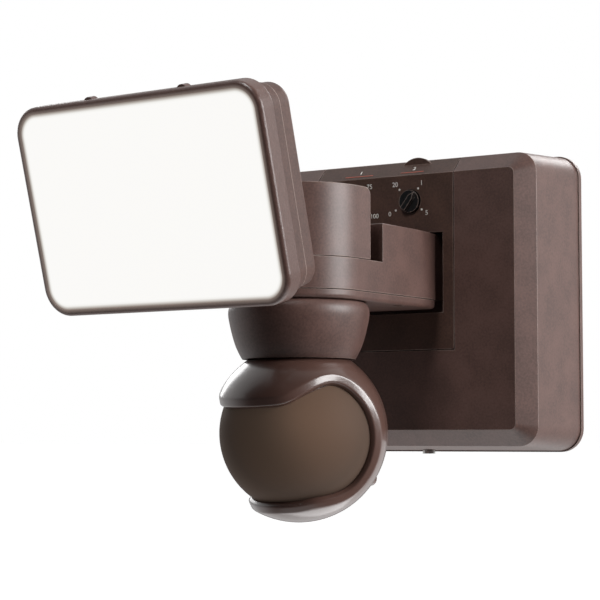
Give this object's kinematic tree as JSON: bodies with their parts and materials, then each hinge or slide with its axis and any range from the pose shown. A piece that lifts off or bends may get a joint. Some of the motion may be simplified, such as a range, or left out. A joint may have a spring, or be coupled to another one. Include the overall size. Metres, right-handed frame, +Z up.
{
  "type": "motion-sensor security light",
  "caption": "Wall-mounted security light with a chamfered canopy, setting knobs, a forward arm, a tilting rectangular lamp head and a ball-shaped motion sensor below.",
  "frame": {"origin": "centre of the canopy's back on the wall face", "axes": "+X to the viewer's right, +Y into the wall, +Z up; the light looks along -Y"},
  "size_m": [0.1754, 0.2718, 0.1949],
  "materials": {
    "housing": "fine textured bronze",
    "ball": "smooth bronze",
    "lens": "smooth translucent brown",
    "diffuser": "frosted white",
    "knob": "smooth black",
    "switch": "moulded",
    "steel": "zinc plated",
    "board": "solder mask",
    "led_plate": "sheet",
    "led_white": "white solder mask",
    "rubber": "matt",
    "bearing": "natural nylon",
    "wound": "tape-wrapped winding",
    "can": "sleeved",
    "terminal": "moulded",
    "detector": "metal can"
  },
  "bodies": {
    "canopy": {"canopy_shell": "housing", "wall_gasket": "rubber", "mounting_bracket": "steel", "bottom_screw": "steel", "control_panel": "housing", "brightness_switch": "switch", "on_time_switch": "switch", "control_board": "board", "control_screws": "steel", "driver_board": "board", "board_screws": "steel", "transformer": "wound", "capacitor": "can", "relay": "switch", "terminal_block": "terminal", "arm_shell": "housing", "arm_cover": "housing", "arm_screws": "steel", "cover_screws": "steel", "pivot_tube": "steel", "pan_liner": "bearing", "barrel_washer": "steel", "barrel_nut": "steel", "collar_washer": "steel", "collar_nut": "steel", "sensor_collar": "housing", "swivel_plate": "bearing", "swivel_screws": "steel"},
    "brightness_knob": {"brightness_knob": "knob"},
    "on_time_knob": {"on_time_knob": "knob"},
    "barrel": {"barrel_shell": "housing", "barrel_cap": "housing", "tilt_pin": "steel", "tilt_nut": "steel", "tilt_washers": "bearing"},
    "head": {"head_neck": "housing", "neck_screws": "steel", "rear_cover": "housing", "rear_screws": "steel", "head_seal": "rubber", "head_casing": "housing", "heat_plate": "led_plate", "led_board": "led_white", "diffuser": "diffuser", "head_bezel": "housing"},
    "sensor_swivel": {"sensor_stem": "steel", "clamp_saddle": "bearing", "spring_washer": "steel", "stem_nut": "steel"},
    "sensor_ball": {"sensor_front_shell": "ball", "sensor_rear_shell": "ball", "shell_screws": "steel", "sensor_lens": "lens", "sensor_board": "board", "sensor_screws": "steel", "pir_element": "detector", "light_sensor": "switch"}
  },
  "joints": [
    {"name": "brightness_turn", "type": "hinge", "parent": "canopy", "child": "brightness_knob", "pos_m": [-0.0158, -0.0584, 0.0527], "axis": [0, -1, 0], "range_deg": [-165, 105]},
    {"name": "on_time_turn", "type": "hinge", "parent": "canopy", "child": "on_time_knob", "pos_m": [0.0158, -0.0584, 0.0527], "axis": [0, -1, 0], "range_deg": [-86, 153]},
    {"name": "barrel_pan", "type": "hinge", "parent": "canopy", "child": "barrel", "pos_m": [0, -0.141, 0.0157], "axis": [0, 0, 1], "range_deg": [-17, 22]},
    {"name": "head_tilt", "type": "hinge", "parent": "barrel", "child": "head", "pos_m": [-0.00283, -0.19693, 0.033], "axis": [0.9987, -0.0506, 0], "range_deg": [-45, 45]},
    {"name": "sensor_pan", "type": "hinge", "parent": "canopy", "child": "sensor_swivel", "pos_m": [0, -0.141, -0.017], "axis": [0, 0, 1], "range_deg": [-80, 80]},
    {"name": "sensor_tilt", "type": "hinge", "parent": "sensor_swivel", "child": "sensor_ball", "pos_m": [0, -0.141, -0.0684], "axis": [0.9848, -0.1736, 0], "range_deg": [-15, 15]}
  ]
}
